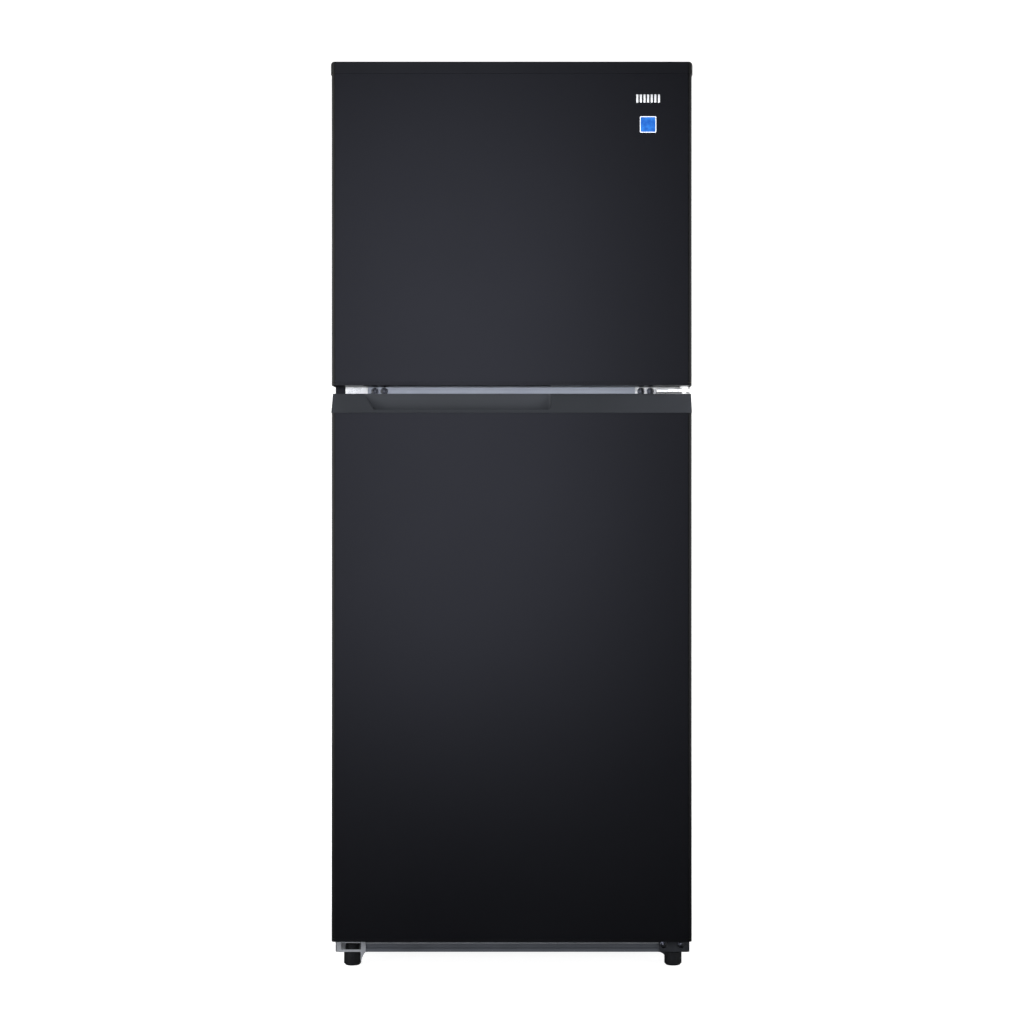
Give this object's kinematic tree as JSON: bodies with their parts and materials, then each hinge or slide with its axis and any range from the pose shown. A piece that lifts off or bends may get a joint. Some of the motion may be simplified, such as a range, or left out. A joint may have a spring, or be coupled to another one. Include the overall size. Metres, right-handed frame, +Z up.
{
  "type": "top freezer refrigerator",
  "caption": "Upright two-door refrigerator with a freezer above, recessed sloped grip, right-hand hinges, shelves, door bins, drawer and levelling feet.",
  "frame": {"origin": "centre of the footprint on the floor", "axes": "+X to the viewer's right when facing the doors, -Y to the front, +Z up"},
  "size_m": [0.603, 0.67, 1.52],
  "materials": {
    "black_steel": "satin black pre-coated steel",
    "back_sheet": "plain galvanised steel sheet",
    "foam_yellow": "rigid insulating foam",
    "liner_white": "vacuum-formed white plastic",
    "grey_steel": "light blue-grey coated steel",
    "zinc": "bright zinc plate",
    "black_plastic": "moulded black plastic",
    "white_plastic": "moulded white plastic",
    "clear_plastic": "clear moulded plastic",
    "shelf_glass": "tempered float glass",
    "gasket_grey": "grey flexible vinyl",
    "badge_satin": "satin foil",
    "black_enamel": "gloss black enamel",
    "copper": "drawn copper tube",
    "fin_aluminium": "pressed aluminium"
  },
  "bodies": {
    "cabinet": {"cabinet_shell": "black_steel", "cabinet_back": "back_sheet", "insulation_foam": "foam_yellow", "freezer_liner": "liner_white", "fridge_liner": "liner_white", "centre_rail": "grey_steel", "base_rail": "grey_steel", "bottom_panel": "grey_steel", "foot_bracket_left": "grey_steel", "foot_bracket_right": "grey_steel", "top_hinge": "zinc", "top_hinge_cover": "black_plastic", "middle_hinge": "zinc", "middle_hinge_blank": "zinc", "bottom_hinge": "zinc", "compressor_plate": "grey_steel", "compressor": "black_enamel", "start_relay": "black_plastic", "evaporation_pan": "black_plastic", "condenser_coil": "copper", "compressor_cover": "back_sheet", "cord_gland": "black_plastic", "evaporator": "fin_aluminium", "freezer_duct_cover": "liner_white", "fan_motor": "black_plastic", "freezer_shelf": "clear_plastic", "fridge_duct_cover": "liner_white", "control_housing": "white_plastic", "lamp_lens": "clear_plastic", "shelf_lower": "shelf_glass", "shelf_lower_trim": "white_plastic", "shelf_upper": "shelf_glass", "shelf_upper_trim": "white_plastic", "crisper_cover": "white_plastic"},
    "freezer_door": {"freezer_door_skin": "black_steel", "freezer_door_foam": "foam_yellow", "freezer_door_liner": "liner_white", "freezer_door_top_cap": "black_plastic", "freezer_door_bottom_cap": "black_plastic", "freezer_gasket": "gasket_grey", "freezer_bin_upper": "clear_plastic", "freezer_bin_lower": "clear_plastic", "nameplate": "badge_satin"},
    "fridge_door": {"fridge_door_skin": "black_steel", "fridge_door_foam": "foam_yellow", "fridge_door_liner": "liner_white", "fridge_door_grip_cap": "black_plastic", "fridge_door_bottom_cap": "black_plastic", "fridge_gasket": "gasket_grey", "fridge_bin_upper": "clear_plastic", "fridge_bin_middle": "clear_plastic", "fridge_bin_lower": "clear_plastic"},
    "crisper_drawer": {"crisper_drawer": "clear_plastic"},
    "thermostat_knob": {"thermostat_knob": "white_plastic"},
    "freezer_air_slider": {"freezer_air_slider": "white_plastic"},
    "fan_blade": {"fan_blade": "white_plastic"},
    "foot_left": {"foot_left": "black_plastic"},
    "foot_right": {"foot_right": "black_plastic"},
    "rear_roller_left": {"rear_roller_left": "black_plastic"},
    "rear_roller_right": {"rear_roller_right": "black_plastic"}
  },
  "joints": [
    {"name": "freezer_door_hinge", "type": "hinge", "parent": "cabinet", "child": "freezer_door", "pos_m": [0.2885, -0.303, 0.979], "axis": [0, 0, 1], "range_deg": [0, 120]},
    {"name": "fridge_door_hinge", "type": "hinge", "parent": "cabinet", "child": "fridge_door", "pos_m": [0.2885, -0.303, 0.979], "axis": [0, 0, 1], "range_deg": [0, 120]},
    {"name": "crisper_slide", "type": "slide", "parent": "cabinet", "child": "crisper_drawer", "axis": [0, -1, 0], "range_m": [0, 0.2]},
    {"name": "thermostat_turn", "type": "hinge", "parent": "cabinet", "child": "thermostat_knob", "pos_m": [-0.07, -0.15, 0.92245], "axis": [0, -1, 0], "range_deg": [0, 270]},
    {"name": "air_slider_slide", "type": "slide", "parent": "cabinet", "child": "freezer_air_slider", "axis": [1, 0, 0], "range_m": [-0.02, 0.02]},
    {"name": "fan_spin", "type": "hinge", "parent": "cabinet", "child": "fan_blade", "pos_m": [0, 0.214, 1.34], "axis": [0, 1, 0], "continuous": true},
    {"name": "foot_left_screw", "type": "slide", "parent": "cabinet", "child": "foot_left", "axis": [0, 0, -1], "range_m": [0, 0.012]},
    {"name": "foot_right_screw", "type": "slide", "parent": "cabinet", "child": "foot_right", "axis": [0, 0, -1], "range_m": [0, 0.012]},
    {"name": "roller_left_spin", "type": "hinge", "parent": "cabinet", "child": "rear_roller_left", "pos_m": [-0.2515, 0.296, 0.02], "axis": [1, 0, 0], "continuous": true},
    {"name": "roller_right_spin", "type": "hinge", "parent": "cabinet", "child": "rear_roller_right", "pos_m": [0.2515, 0.296, 0.02], "axis": [1, 0, 0], "continuous": true}
  ],
  "couplings": [
    {"joint": "crisper_slide", "follows": "fridge_door_hinge", "m_per_rad": 0.0954}
  ]
}
